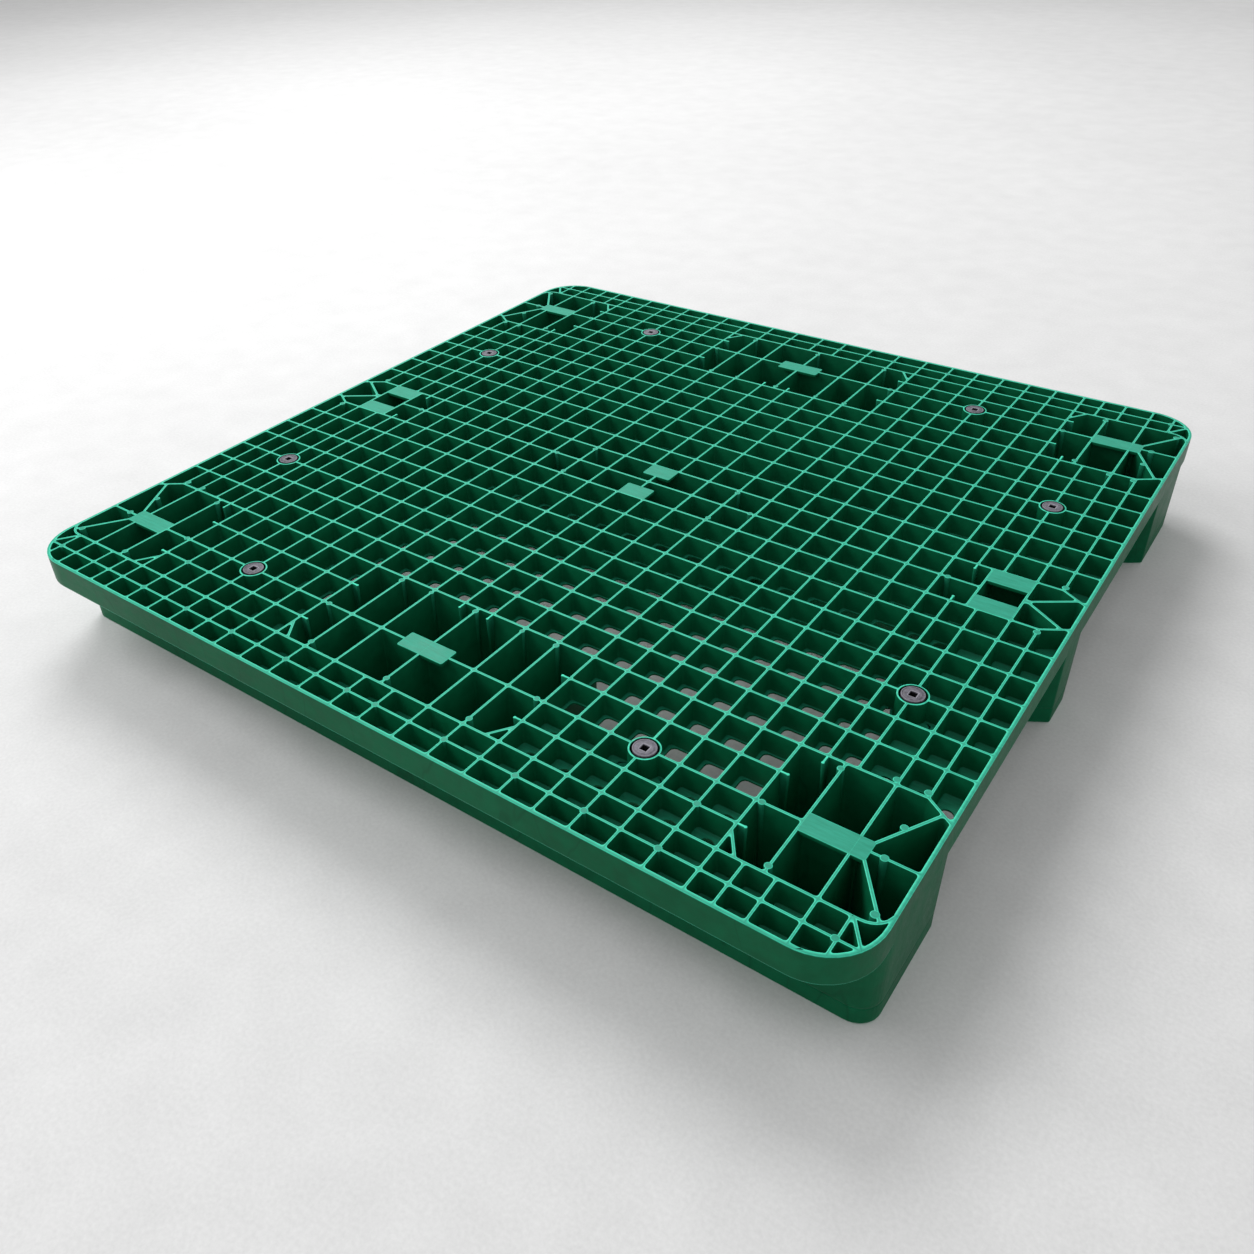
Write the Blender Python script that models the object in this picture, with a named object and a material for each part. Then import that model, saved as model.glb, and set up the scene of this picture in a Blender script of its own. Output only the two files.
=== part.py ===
"""Three-runner grid plastic pallet, 1150 x 1150 x 135 mm, in metres, +Z up, ground at z = 0.

The runners lie along X. The deck is a square grid of ribs on a thin floor plate, inside a deeper skirt.
Nine ribbed leg cups fill its openings, their pegs snap through the top plates of three runners, and
eight anti-slip plugs sit in ring bosses.
"""

import math

import bmesh
import bpy
from mathutils import Matrix, Vector

MM = 0.001

# Overall
SIDE = 1150 * MM
HEIGHT = 135 * MM
CORNER_RADIUS = 62 * MM
GAP = 0.3 * MM

# Deck
DECK_DEPTH = 36.5 * MM
GRID_DEPTH = 28 * MM
FLOOR_THICKNESS = 2 * MM
RIM_THICKNESS = 4 * MM
RIB_THICKNESS = 3 * MM
POCKET_RIB_THICKNESS = 4 * MM
PAD_THICKNESS = 4 * MM
PAD_WIDTH = 26 * MM
RIBS_ACROSS = [21, 69, 116.5, 164, 207.7, 248.9, 289.5, 330.2, 370.8, 413, 442, 473.3, 512, 543]
RIBS_ALONG = [0, 44.5, 88.5, 138.5, 181.6, 224.7, 267.8, 311.3, 355, 399.3, 445, 480.5, 517.5, 546]

# Leg pockets: their edges are rib centre lines, measured from the middle of the deck
MIDDLE_POCKET_X = 164 * MM
END_POCKET_X = 413 * MM
SIDE_POCKET_Y = (355 * MM, 517.5 * MM)
CENTRE_POCKET_Y = 44.5 * MM
CHAMFER_X = 543 * MM
SIDE_CHAMFER_Y = 377 * MM
CENTRE_CHAMFER_Y = 25 * MM
LEG_CORNER_RADIUS = 25 * MM
LEG_FLOOR = 4 * MM
LEG_TAPER = 4 * MM

# Runners
RUNNER_HEIGHT = 22 * MM
RUNNER_TOP_PLATE = 5 * MM
RUNNER_RIB = 5 * MM
RUNNER_CELLS = 8
PEG_RADIUS = 6 * MM
PEG_HEAD_RADIUS = 7.6 * MM
PEG_HEAD_HEIGHT = 2.5 * MM
PEG_SIDES = 8

# Anti-slip plugs and their ring bosses
PLUG_PLACES = [(473.3, 224.7), (289.5, 445)]
BOSS_RADIUS = 17.2 * MM
SEAT_RADIUS = 15.2 * MM
SEAT_DEPTH = 24 * MM
PLUG_RADIUS = 14 * MM
PLUG_PROUD = 0.8 * MM
PLUG_HOLE = 8.5 * MM
PLUG_HOLE_DEPTH = 18 * MM
PLUG_SIDES = 16

HALF = SIDE / 2
DECK_BOTTOM = HEIGHT - DECK_DEPTH
GRID_BOTTOM = HEIGHT - GRID_DEPTH
FLOOR_TOP = GRID_BOTTOM + FLOOR_THICKNESS
LEG_TOP = DECK_BOTTOM - GAP
LEG_BOTTOM = RUNNER_HEIGHT + GAP
LEG_FLOOR_TOP = LEG_BOTTOM + LEG_FLOOR
PEG_HEAD_TOP = RUNNER_HEIGHT - RUNNER_TOP_PLATE - GAP
PEG_BOTTOM = PEG_HEAD_TOP - PEG_HEAD_HEIGHT
RIM_INNER = HALF - RIM_THICKNESS
HALF_RIB = RIB_THICKNESS / 2
HALF_POCKET_RIB = POCKET_RIB_THICKNESS / 2
PAD_X = (461 * MM, 527 * MM)
END_PAD_X = (461 * MM, 512 * MM)
END_PAD_Y = (17 * MM, 44.5 * MM)
SIDE_MIDDLE_Y = 445 * MM


def clear_scene():
    for obj in list(bpy.data.objects):
        bpy.data.objects.remove(obj, do_unlink=True)


def new_collection(name, helper=False):
    collection = bpy.data.collections.new(name)
    bpy.context.scene.collection.children.link(collection)
    collection.hide_render = helper
    return collection


def new_material(name, colour, roughness):
    material = bpy.data.materials.new(name)
    material.use_nodes = True
    shader = material.node_tree.nodes["Principled BSDF"]
    shader.inputs["Base Color"].default_value = (*colour, 1)
    shader.inputs["Roughness"].default_value = roughness
    material.diffuse_color = (*colour, 1)
    return material


def new_object(name, shape, collection, material=None):
    """An object from a bmesh, with its normals facing out."""
    bmesh.ops.recalc_face_normals(shape, faces=shape.faces)
    mesh = bpy.data.meshes.new(name)
    shape.to_mesh(mesh)
    shape.free()
    obj = bpy.data.objects.new(name, mesh)
    collection.objects.link(obj)
    if material:
        mesh.materials.append(material)
    else:
        obj.hide_render = True
        obj.display_type = "WIRE"
    return obj


def add_boolean(obj, operation, other):
    modifier = obj.modifiers.new(f"{operation.lower()}_{other.name}", "BOOLEAN")
    modifier.operation = operation
    modifier.solver = "EXACT"
    modifier.object = other
    return modifier


def add_prism(shape, outline, bottom, top):
    """A closed upright prism over an outline of (x, y) points."""
    base = shape.faces.new([shape.verts.new((x, y, bottom)) for x, y in outline])
    raised = bmesh.ops.extrude_face_region(shape, geom=[base])["geom"]
    corners = [item for item in raised if isinstance(item, bmesh.types.BMVert)]
    bmesh.ops.translate(shape, verts=corners, vec=(0, 0, top - bottom))


def add_box(shape, x_range, y_range, z_range):
    centre = Vector([(low + high) / 2 for low, high in (x_range, y_range, z_range)])
    size = [high - low for low, high in (x_range, y_range, z_range)]
    place = Matrix.Translation(centre) @ Matrix.Diagonal((*size, 1))
    bmesh.ops.create_cube(shape, size=1, matrix=place)


def add_bar(shape, start, end, width, bottom, top):
    """An upright plate of a given width between two plan points."""
    along = Vector((end[0] - start[0], end[1] - start[1])).normalized()
    side = Vector((-along.y, along.x)) * width / 2
    ends = [Vector(start), Vector(end)]
    outline = [ends[0] - side, ends[1] - side, ends[1] + side, ends[0] + side]
    add_prism(shape, [tuple(point) for point in outline], bottom, top)


def add_cylinder(shape, x, y, radius, bottom, top, sides):
    bmesh.ops.create_cone(
        shape,
        cap_ends=True,
        segments=sides,
        radius1=radius,
        radius2=radius,
        depth=top - bottom,
        matrix=Matrix.Translation((x, y, (bottom + top) / 2)),
    )


def arc(x, y, radius, start, end, steps):
    points = []
    for step in range(steps + 1):
        angle = math.radians(start + (end - start) * step / steps)
        points.append((x + radius * math.cos(angle), y + radius * math.sin(angle)))
    return points


def rounded_square(half, radius, steps=8):
    inner = half - radius
    outline = []
    for index, (x, y) in enumerate([(inner, inner), (-inner, inner), (-inner, -inner), (inner, -inner)]):
        outline += arc(x, y, radius, 90 * index, 90 * index + 90, steps)
    return outline


def mirrored(outline, x_sign, y_sign):
    turned = [(x * x_sign, y * y_sign) for x, y in outline]
    return turned if x_sign * y_sign > 0 else turned[::-1]


def pocket_kinds():
    """(kind, x sign, y sign) of the nine leg pockets."""
    kinds = [("centre", 1, 1)]
    for sign in (1, -1):
        kinds.append(("end", sign, 1))
        kinds.append(("side", 1, sign))
        kinds.append(("corner", sign, 1))
        kinds.append(("corner", sign, -1))
    return kinds


def pocket_outline(kind, grow):
    """The plan of a leg pocket, its walls' centre lines moved outwards by grow."""
    low, high = SIDE_POCKET_Y
    face = HALF - RIM_THICKNESS / 2 + grow
    if kind == "centre":
        x, y = MIDDLE_POCKET_X + grow, CENTRE_POCKET_Y + grow
        return [(x, y), (-x, y), (-x, -y), (x, -y)]
    if kind == "side":
        x = MIDDLE_POCKET_X + grow
        return [(x, low - grow), (x, high + grow), (-x, high + grow), (-x, low - grow)]
    start = END_POCKET_X - grow
    if kind == "end":
        slope = (CENTRE_POCKET_Y - CENTRE_CHAMFER_Y) / (HALF - CHAMFER_X)
        shift = grow * (math.hypot(1, slope) - 1) / slope
        y = CENTRE_POCKET_Y + grow
        y_face = CENTRE_CHAMFER_Y + grow * math.hypot(1, slope) - (face - HALF) * slope
        return [
            (start, -y),
            (CHAMFER_X + shift, -y),
            (face, -y_face),
            (face, y_face),
            (CHAMFER_X + shift, y),
            (start, y),
        ]
    slope = (SIDE_CHAMFER_Y - low) / (HALF - CHAMFER_X)
    shift = grow * (math.hypot(1, slope) - 1) / slope
    y_face = SIDE_CHAMFER_Y - grow * math.hypot(1, slope) + (face - HALF) * slope
    radius = LEG_CORNER_RADIUS - HALF_POCKET_RIB + grow
    bend = arc(face - radius, high + grow - radius, radius, 0, 90, 5)
    return [(start, low - grow), (CHAMFER_X + shift, low - grow), (face, y_face), *bend, (start, high + grow)]


def add_pocket_ribs(shape, kind, x_sign, y_sign):
    """The ribs that cross a leg pocket. They run past its walls, so that they join them."""
    width = POCKET_RIB_THICKNESS
    bottom = LEG_FLOOR_TOP - 2 * MM
    top = HEIGHT + 4 * MM
    low, high = SIDE_POCKET_Y
    low -= HALF_RIB
    high += HALF_RIB

    def bar(x_start, y_start, x_end, y_end):
        start = (x_start * MM * x_sign, y_start * MM * y_sign)
        end = (x_end * MM * x_sign, y_end * MM * y_sign)
        add_bar(shape, start, end, width, bottom, top)

    if kind == "centre":
        bar(-166, 0, 166, 0)
        for x in (-116.5, -69, 0, 69, 116.5):
            bar(x, -46, x, 46)
    elif kind == "side":
        bar(-166, 445, 166, 445)
        for x in (-116.5, -69, 0, 69, 116.5):
            bar(x, low / MM, x, high / MM)
        for side in (-1, 1):
            bar(side * 168, 485.5, side * 143, 521)
    elif kind == "end":
        bar(411, 0, 461, 0)
        for x in (461, 512):
            bar(x, -46, x, 46)
        for side in (-1, 1):
            bar(511, side * -3.2, 568, side * 35)
    else:
        bar(411, 445, 577, 445)
        for x in (461, 512):
            bar(x, low / MM, x, high / MM)
        bar(524, 436, 566, 362)
        bar(524, 454, 571, 521)
        bar(409, 484.5, 434, 521)


def add_pocket_pads(shape, kind, x_sign, y_sign, bottom, top):
    """The flush plates that bridge a leg pocket at the deck surface."""
    low = SIDE_MIDDLE_Y - PAD_WIDTH / 2
    high = SIDE_MIDDLE_Y + PAD_WIDTH / 2
    if kind == "centre":
        for side in (-1, 1):
            y_range = sorted((side * END_PAD_Y[0], side * (END_PAD_Y[1] + HALF_RIB)))
            add_box(shape, (-21 * MM, 21 * MM), y_range, (bottom, top))
    elif kind == "side":
        add_box(shape, (-33.5 * MM, 33.5 * MM), sorted((low * y_sign, high * y_sign)), (bottom, top))
    elif kind == "end":
        x_range = sorted((END_PAD_X[0] * x_sign, END_PAD_X[1] * x_sign))
        for side in (-1, 1):
            y_range = sorted((side * END_PAD_Y[0], side * (END_PAD_Y[1] + HALF_RIB)))
            add_box(shape, x_range, y_range, (bottom, top))
    else:
        x_range = sorted((PAD_X[0] * x_sign, PAD_X[1] * x_sign))
        add_box(shape, x_range, sorted((low * y_sign, high * y_sign)), (bottom, top))


def taper(shape, kind, x_sign, y_sign, start):
    """Draws a leg in towards its foot from a height. Faces flush with the deck edge or the runner stay upright."""
    low, high = SIDE_POCKET_Y
    x_fixed, x_size = 0, MIDDLE_POCKET_X * 2
    y_fixed, y_size = 0, CENTRE_POCKET_Y * 2
    if kind in ("end", "corner"):
        x_fixed, x_size = HALF * x_sign, HALF - END_POCKET_X
    if kind in ("side", "corner"):
        y_fixed, y_size = (high + HALF_POCKET_RIB) * y_sign, high - low
    for vertex in shape.verts:
        depth = (start - vertex.co.z) / (start - LEG_BOTTOM)
        vertex.co.x = x_fixed + (vertex.co.x - x_fixed) * (1 - depth * LEG_TAPER / x_size)
        vertex.co.y = y_fixed + (vertex.co.y - y_fixed) * (1 - depth * LEG_TAPER / y_size)
    bmesh.ops.triangulate(shape, faces=[face for face in shape.faces if abs(face.normal.z) < 0.5])


def rib_lines(halves):
    """The centre lines of a family of ribs on both sides of the middle, in metres."""
    lines = {-value for value in halves} | set(halves)
    return [value * MM for value in sorted(lines)]


def in_pocket(x, y):
    if abs(y) < CENTRE_POCKET_Y:
        return abs(x) < MIDDLE_POCKET_X or abs(x) > END_POCKET_X
    if SIDE_POCKET_Y[0] < abs(y) < SIDE_POCKET_Y[1]:
        return abs(x) < MIDDLE_POCKET_X or abs(x) > END_POCKET_X
    return False


def beside_wall(x, y):
    """Cells that end on a chamfered or curved pocket wall: wall_cells draws them."""
    beside = 44.5 * MM < abs(y) < 88.5 * MM or 311.3 * MM < abs(y) < 355 * MM or 517.5 * MM < abs(y) < 546 * MM
    return abs(x) > CHAMFER_X and beside


def wall_cells():
    """Outlines, in one quarter of the deck, of the cells that a pocket wall bounds."""
    near, far = CHAMFER_X + HALF_RIB, RIM_INNER

    def chamfer(x, start, end, side):
        slope = (end - start) / (HALF - CHAMFER_X)
        return start + (x - CHAMFER_X) * slope + side * HALF_RIB * math.hypot(1, slope)

    beside_end = [
        (near, chamfer(near, CENTRE_POCKET_Y, CENTRE_CHAMFER_Y, 1)),
        (far, chamfer(far, CENTRE_POCKET_Y, CENTRE_CHAMFER_Y, 1)),
        (far, 88.5 * MM - HALF_RIB),
        (near, 88.5 * MM - HALF_RIB),
    ]
    low, high = SIDE_POCKET_Y
    beside_leg = [
        (near, 311.3 * MM + HALF_RIB),
        (far, 311.3 * MM + HALF_RIB),
        (far, chamfer(far, low, SIDE_CHAMFER_Y, -1)),
        (near, chamfer(near, low, SIDE_CHAMFER_Y, -1)),
    ]
    radius = LEG_CORNER_RADIUS - HALF_POCKET_RIB + HALF_RIB
    x = HALF - RIM_THICKNESS / 2 + HALF_RIB - radius
    y = high + HALF_RIB - radius
    bend = arc(x, y, radius, 28, 90, 4)
    top = 546 * MM - HALF_RIB
    at_bend = [*bend, (near, high + HALF_RIB), (near, top), (HALF, top), (HALF, bend[0][1])]
    return beside_end, beside_leg, at_bend[::-1]


def deck_cells():
    """(x range, y range) of every rectangular cell of the grid."""
    edge = RIM_INNER + HALF_RIB
    x_lines = [-edge, *rib_lines(RIBS_ACROSS), edge]
    y_lines = [-edge, *rib_lines(RIBS_ALONG), edge]
    cells = []
    for left, right in zip(x_lines, x_lines[1:]):
        for near, far in zip(y_lines, y_lines[1:]):
            middle = ((left + right) / 2, (near + far) / 2)
            if not in_pocket(*middle) and not beside_wall(*middle):
                cells.append(((left + HALF_RIB, right - HALF_RIB), (near + HALF_RIB, far - HALF_RIB)))
    return cells


def plug_places():
    places = []
    for x, y in PLUG_PLACES:
        for x_sign in (1, -1):
            for y_sign in (1, -1):
                places.append((x * MM * x_sign, y * MM * y_sign))
    return places


def near_boss(x_range, y_range):
    for x, y in plug_places():
        if x_range[0] < x + BOSS_RADIUS and x_range[1] > x - BOSS_RADIUS:
            if y_range[0] < y + BOSS_RADIUS and y_range[1] > y - BOSS_RADIUS:
                return True
    return False


def at_corner(x_range, y_range):
    far_x = max(abs(x_range[0]), abs(x_range[1]))
    far_y = max(abs(y_range[0]), abs(y_range[1]))
    start = HALF - CORNER_RADIUS
    return far_x > start and far_y > start


def build_deck(parts, cutters, material):
    deck_shape = bmesh.new()
    add_prism(deck_shape, rounded_square(HALF, CORNER_RADIUS), DECK_BOTTOM, HEIGHT)
    deck = new_object("deck_grid", deck_shape, parts, material)

    over = HEIGHT + 5 * MM
    plain, bossed, cornered = bmesh.new(), bmesh.new(), bmesh.new()
    for x_range, y_range in deck_cells():
        target = plain
        if at_corner(x_range, y_range):
            target = cornered
        elif near_boss(x_range, y_range):
            target = bossed
        add_box(target, x_range, y_range, (FLOOR_TOP, over))
    for x_sign in (1, -1):
        for y_sign in (1, -1):
            beside_end, beside_leg, at_bend = wall_cells()
            add_prism(plain, mirrored(beside_end, x_sign, y_sign), FLOOR_TOP, over)
            add_prism(plain, mirrored(beside_leg, x_sign, y_sign), FLOOR_TOP, over)
            add_prism(cornered, mirrored(at_bend, x_sign, y_sign), FLOOR_TOP, over)
    add_boolean(deck, "DIFFERENCE", new_object("cell_cutter", plain, cutters))

    boss_shape = bmesh.new()
    for x, y in plug_places():
        add_cylinder(boss_shape, x, y, BOSS_RADIUS, 0, over + MM, PLUG_SIDES)
    boss_cells = new_object("boss_cell_cutter", bossed, cutters)
    add_boolean(boss_cells, "DIFFERENCE", new_object("boss_keeper", boss_shape, cutters))
    add_boolean(deck, "DIFFERENCE", boss_cells)

    inner_shape = bmesh.new()
    add_prism(inner_shape, rounded_square(RIM_INNER, CORNER_RADIUS - RIM_THICKNESS), 0, over + MM)
    corner_cells = new_object("corner_cell_cutter", cornered, cutters)
    add_boolean(corner_cells, "INTERSECT", new_object("rim_keeper", inner_shape, cutters))
    brace_shape = bmesh.new()
    for x_sign in (1, -1):
        for y_sign in (1, -1):
            start = (540 * MM * x_sign, 511.5 * MM * y_sign)
            end = (570 * MM * x_sign, 554 * MM * y_sign)
            add_bar(brace_shape, start, end, RIB_THICKNESS, 0, over + MM)
    add_boolean(corner_cells, "DIFFERENCE", new_object("brace_keeper", brace_shape, cutters))
    add_boolean(deck, "DIFFERENCE", corner_cells)

    under_shape, collar_shape = bmesh.new(), bmesh.new()
    inner = rounded_square(RIM_INNER, CORNER_RADIUS - RIM_THICKNESS)
    add_prism(under_shape, inner, DECK_BOTTOM - 5 * MM, GRID_BOTTOM)
    for kind, x_sign, y_sign in pocket_kinds():
        outline = mirrored(pocket_outline(kind, HALF_POCKET_RIB), x_sign, y_sign)
        add_prism(collar_shape, outline, DECK_BOTTOM - 10 * MM, over)
    underside = new_object("underside_cutter", under_shape, cutters)
    add_boolean(underside, "DIFFERENCE", new_object("collar_keeper", collar_shape, cutters))
    add_boolean(deck, "DIFFERENCE", underside)

    pocket_shape = bmesh.new()
    for kind, x_sign, y_sign in pocket_kinds():
        add_prism(pocket_shape, mirrored(pocket_outline(kind, 0), x_sign, y_sign), DECK_BOTTOM - 5 * MM, over)
    add_boolean(deck, "DIFFERENCE", new_object("pocket_cutter", pocket_shape, cutters))

    seat_shape = bmesh.new()
    for x, y in plug_places():
        add_cylinder(seat_shape, x, y, SEAT_RADIUS, HEIGHT - SEAT_DEPTH, over, PLUG_SIDES)
    add_boolean(deck, "DIFFERENCE", new_object("plug_seat_cutter", seat_shape, cutters))


def leg_name(kind, x_sign, y_sign):
    row = {"centre": "centre", "end": "centre"}.get(kind, "rear" if y_sign > 0 else "front")
    place = {"centre": "middle", "side": "middle"}.get(kind, "right" if x_sign > 0 else "left")
    return f"leg_{row}_{place}"


def peg_places(kind, x_sign, y_sign):
    """Plan points of the two snap pegs under a leg, at its foot."""
    if kind == "centre":
        return [(-93 * MM, 22 * MM), (93 * MM, -22 * MM)]
    if kind == "side":
        return [(-93 * MM, 400 * MM * y_sign), (93 * MM, 480 * MM * y_sign)]
    if kind == "end":
        return [(438 * MM * x_sign, -22 * MM), (486 * MM * x_sign, 22 * MM)]
    return [(438 * MM * x_sign, 400 * MM * y_sign), (486 * MM * x_sign, 480 * MM * y_sign)]


def build_legs(parts, cutters, material):
    for kind, x_sign, y_sign in pocket_kinds():
        name = leg_name(kind, x_sign, y_sign)
        leg_shape = bmesh.new()
        add_prism(leg_shape, mirrored(pocket_outline(kind, HALF_POCKET_RIB), x_sign, y_sign), LEG_BOTTOM, LEG_TOP)
        taper(leg_shape, kind, x_sign, y_sign, LEG_TOP)
        leg = new_object(name, leg_shape, parts, material)
        neck_shape = bmesh.new()
        add_prism(neck_shape, mirrored(pocket_outline(kind, -GAP), x_sign, y_sign), LEG_TOP - MM, HEIGHT)
        add_boolean(leg, "UNION", new_object(f"{name}_neck", neck_shape, cutters))

        hollow_shape, rib_shape, pad_shape = bmesh.new(), bmesh.new(), bmesh.new()
        outline = mirrored(pocket_outline(kind, -HALF_POCKET_RIB), x_sign, y_sign)
        add_prism(hollow_shape, outline, LEG_FLOOR_TOP, HEIGHT + 2 * MM)
        add_pocket_ribs(rib_shape, kind, x_sign, y_sign)
        add_pocket_pads(pad_shape, kind, x_sign, y_sign, HEIGHT - PAD_THICKNESS, HEIGHT + 4 * MM)
        taper(hollow_shape, kind, x_sign, y_sign, HEIGHT)
        taper(rib_shape, kind, x_sign, y_sign, HEIGHT)
        hollow = new_object(f"{name}_hollow", hollow_shape, cutters)
        ribs = new_object(f"{name}_ribs", rib_shape, cutters)
        add_boolean(hollow, "DIFFERENCE", ribs).use_self = True
        add_boolean(hollow, "DIFFERENCE", new_object(f"{name}_pad", pad_shape, cutters))
        add_boolean(leg, "DIFFERENCE", hollow)

        peg_shape, head_shape = bmesh.new(), bmesh.new()
        for x, y in peg_places(kind, x_sign, y_sign):
            add_cylinder(peg_shape, x, y, PEG_RADIUS, PEG_HEAD_TOP - MM, LEG_FLOOR_TOP - MM, PEG_SIDES)
            add_cylinder(head_shape, x, y, PEG_HEAD_RADIUS, PEG_BOTTOM, PEG_HEAD_TOP, PEG_SIDES)
        add_boolean(leg, "UNION", new_object(f"{name}_pegs", peg_shape, cutters))
        add_boolean(leg, "UNION", new_object(f"{name}_heads", head_shape, cutters))


def runner_outline(row):
    """The plan of a runner: its ends follow the feet of the legs that it carries."""
    if row == "centre":
        half = pocket_outline("end", HALF_POCKET_RIB)[1:-1]
        half = [(x, y - math.copysign(LEG_TAPER / 2, y)) for x, y in half]
        return half + [(-x, -y) for x, y in half]
    sign = 1 if row == "rear" else -1
    fixed = SIDE_POCKET_Y[1] + HALF_POCKET_RIB
    scale = 1 - LEG_TAPER / (SIDE_POCKET_Y[1] - SIDE_POCKET_Y[0])
    half = pocket_outline("corner", HALF_POCKET_RIB)[1:-1]
    half = [(x, fixed + (y - fixed) * scale) for x, y in half]
    half[-1] = (half[-1][0], fixed)
    return mirrored(half + [(-x, y) for x, y in reversed(half)], 1, sign)


def build_runners(parts, cutters, material):
    spots = {"front": [], "centre": [], "rear": []}
    for kind, x_sign, y_sign in pocket_kinds():
        row = leg_name(kind, x_sign, y_sign).split("_")[1]
        spots[row] += peg_places(kind, x_sign, y_sign)
    for row, places in spots.items():
        shape = bmesh.new()
        outline = runner_outline(row)
        add_prism(shape, outline, 0, RUNNER_HEIGHT)
        runner = new_object(f"runner_{row}", shape, parts, material)
        low = min(y for _, y in outline)
        high = max(y for _, y in outline)

        cell_shape = bmesh.new()
        edges = [low + RUNNER_RIB, (low + high) / 2, high - RUNNER_RIB]
        length = 2 * 525 * MM
        pitch = length / RUNNER_CELLS
        for index in range(RUNNER_CELLS):
            start = -length / 2 + index * pitch
            x_range = (start + RUNNER_RIB / 2, start + pitch - RUNNER_RIB / 2)
            for lower, upper in ((edges[0], edges[1] - RUNNER_RIB / 2), (edges[1] + RUNNER_RIB / 2, edges[2])):
                add_box(cell_shape, x_range, (lower, upper), (-5 * MM, RUNNER_HEIGHT - RUNNER_TOP_PLATE))
        add_boolean(runner, "DIFFERENCE", new_object(f"runner_{row}_cells", cell_shape, cutters))

        hole_shape = bmesh.new()
        for x, y in places:
            add_cylinder(hole_shape, x, y, PEG_RADIUS + GAP, 5 * MM, RUNNER_HEIGHT + 5 * MM, PEG_SIDES)
        add_boolean(runner, "DIFFERENCE", new_object(f"runner_{row}_peg_holes", hole_shape, cutters))


def build_plugs(parts, cutters, material):
    for index, (x, y) in enumerate(plug_places(), 1):
        shape = bmesh.new()
        top = HEIGHT + PLUG_PROUD
        add_cylinder(shape, x, y, PLUG_RADIUS, HEIGHT - SEAT_DEPTH + GAP, top, PLUG_SIDES)
        plug = new_object(f"antislip_plug_{index}", shape, parts, material)
        hole_shape = bmesh.new()
        half = PLUG_HOLE / 2
        z_range = (top - PLUG_HOLE_DEPTH, top + 5 * MM)
        add_box(hole_shape, (x - half, x + half), (y - half, y + half), z_range)
        add_boolean(plug, "DIFFERENCE", new_object(f"plug_{index}_hole", hole_shape, cutters))


def main():
    clear_scene()
    parts = new_collection("plastic_pallet")
    cutters = new_collection("cutters", helper=True)
    build_deck(parts, cutters, new_material("deck_green", (0.02, 0.2, 0.11), 0.45))
    build_legs(parts, cutters, new_material("leg_green", (0.02, 0.19, 0.105), 0.45))
    build_runners(parts, cutters, new_material("runner_green", (0.015, 0.16, 0.09), 0.5))
    build_plugs(parts, cutters, new_material("plug_rubber", (0.16, 0.155, 0.175), 0.8))


main()
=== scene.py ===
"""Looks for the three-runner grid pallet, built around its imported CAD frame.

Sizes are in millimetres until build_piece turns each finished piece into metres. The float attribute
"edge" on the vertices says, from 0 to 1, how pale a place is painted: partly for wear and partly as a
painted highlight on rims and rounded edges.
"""

import math

import bmesh
import bpy
from mathutils import Matrix, Vector


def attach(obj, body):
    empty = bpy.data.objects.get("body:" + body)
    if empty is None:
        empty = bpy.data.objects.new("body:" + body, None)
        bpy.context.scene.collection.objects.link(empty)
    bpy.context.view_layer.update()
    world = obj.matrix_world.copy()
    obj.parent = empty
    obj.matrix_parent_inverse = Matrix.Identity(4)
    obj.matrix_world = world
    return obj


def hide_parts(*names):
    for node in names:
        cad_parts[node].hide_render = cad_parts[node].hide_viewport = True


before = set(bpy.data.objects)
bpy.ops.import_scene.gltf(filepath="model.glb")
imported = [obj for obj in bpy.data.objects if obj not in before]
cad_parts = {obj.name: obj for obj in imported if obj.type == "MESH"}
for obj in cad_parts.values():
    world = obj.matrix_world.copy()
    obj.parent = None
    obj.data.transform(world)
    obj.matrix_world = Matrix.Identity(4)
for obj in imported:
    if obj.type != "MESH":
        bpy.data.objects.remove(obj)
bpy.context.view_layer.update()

MM = 0.001
WELD = 0.02

# Overall
HALF = 575
TOP = 135
CORNER_RADIUS = 62
CORNER_CENTRE = HALF - CORNER_RADIUS
EDGE = 0.8
OUT = HALF - EDGE
RIM = 4 - EDGE

# Deck
BOTTOM = 98.5
GRID_BOTTOM = 107
FLOOR_TOP = 109
HALF_RIB = 1.4
HALF_WALL = 1.5
BRACE_WALL = 1.7
COLLAR = 2
BEVEL = 0.5
SOFTENED = 0.15
CELL_RADIUS = 2.8
SMALL_RADIUS = 1.6
HOLE_RADIUS = 6
ROUND_HOLE = 9
RING_CELL_MARGIN = 10
CORNER_STEPS = 3
RIBS_ACROSS = [21, 69, 116.5, 164, 207.7, 248.9, 289.5, 330.2, 370.8, 413, 442, 473.3, 512, 543]
RIBS_ALONG = [0, 44.5, 88.5, 138.5, 181.6, 224.7, 267.8, 311.3, 355, 399.3, 445, 480.5, 517.5, 546]
BESIDE_CENTRE_Y = 88.5
BESIDE_SIDE_Y = 311.3
LAST_Y = 546
CORNER_X = 512
OPEN_FLOORS = (473.3, 445)
BRACE_FOOT_Y = 515.75
BRACE_END_X = 564.35

# Legs and runners
MIDDLE_X = 164
END_X = 413
SIDE_Y = (355, 517.5)
CENTRE_Y = 44.5
CUP_X = 461
CUP_Y = 445
CUP_RIBS = (69, 116.5)
CHAMFER_X = 543
CHAMFER_LENGTH = 32
CHAMFER_SIDE = 22 / CHAMFER_LENGTH
CHAMFER_END = 19.5 / CHAMFER_LENGTH
BEND = (550, 494.5)
BEND_RADIUS = 23
LEG_BOTTOM = 22.06
LEG_FLOOR = 26.3
LEG_TAPER = 4
RUNNER_TOP = 22
RUNNER_PLATE = 17
PEG_HEAD = (14.2, 16.7)
RUNNER_REACH = 525
RUNNER_CELLS = 8
RUNNER_WALL = 5

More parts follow.
